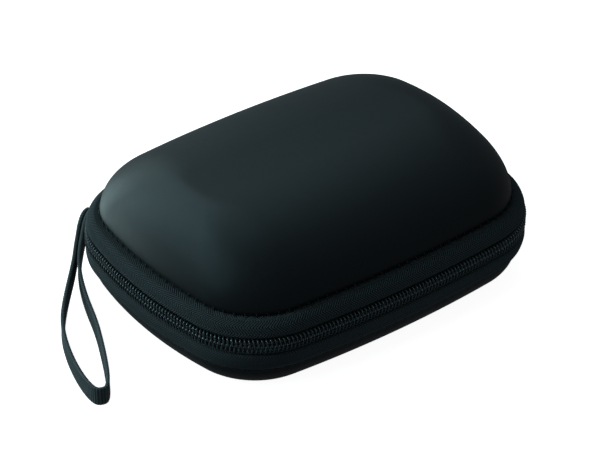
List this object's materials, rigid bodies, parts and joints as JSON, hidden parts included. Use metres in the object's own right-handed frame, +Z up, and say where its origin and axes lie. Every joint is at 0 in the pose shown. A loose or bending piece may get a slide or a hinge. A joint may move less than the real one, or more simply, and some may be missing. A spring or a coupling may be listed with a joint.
{
  "type": "headphone carrying case",
  "caption": "Small zipped hard case for earphones: moulded tray and domed lid, coil zip round three sides, cloth hinge, wrist strap.",
  "frame": {"origin": "centre of the flat underside, on the surface the case stands on", "axes": "+X along the case, -Y is the front (zip side), +Y the hinge side, +Z up"},
  "size_m": [0.1496, 0.0934, 0.0448],
  "materials": {
    "cover": "smooth matte polyurethane leather",
    "foam": "moulded closed-cell foam",
    "lining": "brushed knit lining",
    "tape": "herringbone zip tape",
    "coil": "nylon monofilament coil",
    "thread": "sewing thread",
    "binding": "plain woven binding",
    "webbing": "ribbed narrow webbing",
    "net": "elastic net",
    "elastic": "ribbed elastic",
    "metal": "black lacquered zinc"
  },
  "bodies": {
    "base": {"base_cover": "cover", "base_foam": "foam", "base_lining": "lining", "base_binding": "binding", "base_seam_stitches": "thread", "lower_zip_tape": "tape", "lower_zip_coil": "coil", "lower_end_stops": "metal", "hinge_panel": "cover", "hinge_lining": "lining", "strap_anchor": "webbing"},
    "lid": {"lid_cover": "cover", "lid_foam": "foam", "lid_lining": "lining", "lid_binding": "binding", "lid_seam_stitches": "thread", "upper_zip_tape": "tape", "upper_zip_coil": "coil", "upper_end_stops": "metal", "mesh_pocket": "net", "pocket_elastic": "elastic"},
    "slider": {"slider_body": "metal", "slider_crown": "metal"},
    "puller": {"pull_tab": "metal"},
    "strap": {"wrist_strap": "webbing", "strap_bar_tack": "thread"}
  },
  "joints": [
    {"name": "lid_hinge", "type": "hinge", "parent": "base", "child": "lid", "pos_m": [0, 0.04665, 0.017], "axis": [-1, 0, 0], "range_deg": [0, 160], "deforming": ["hinge_panel", "hinge_lining"]},
    {"name": "slider_travel", "type": "hinge", "parent": "base", "child": "slider", "pos_m": [0.03353, 0.01978, 0.017], "axis": [0, 0, -1], "range_deg": [0, 46], "deforming": ["upper_zip_coil", "lower_zip_coil"]},
    {"name": "pull_tab_swing", "type": "hinge", "parent": "slider", "child": "puller", "pos_m": [0.04642, 0.04401, 0.017], "axis": [0, 0, 1], "range_deg": [0, 90]},
    {"name": "strap_swing", "type": "hinge", "parent": "base", "child": "strap", "pos_m": [-0.04353, 0.04582, 0.0129], "axis": [0, 0, -1], "range_deg": [0, 50]}
  ]
}
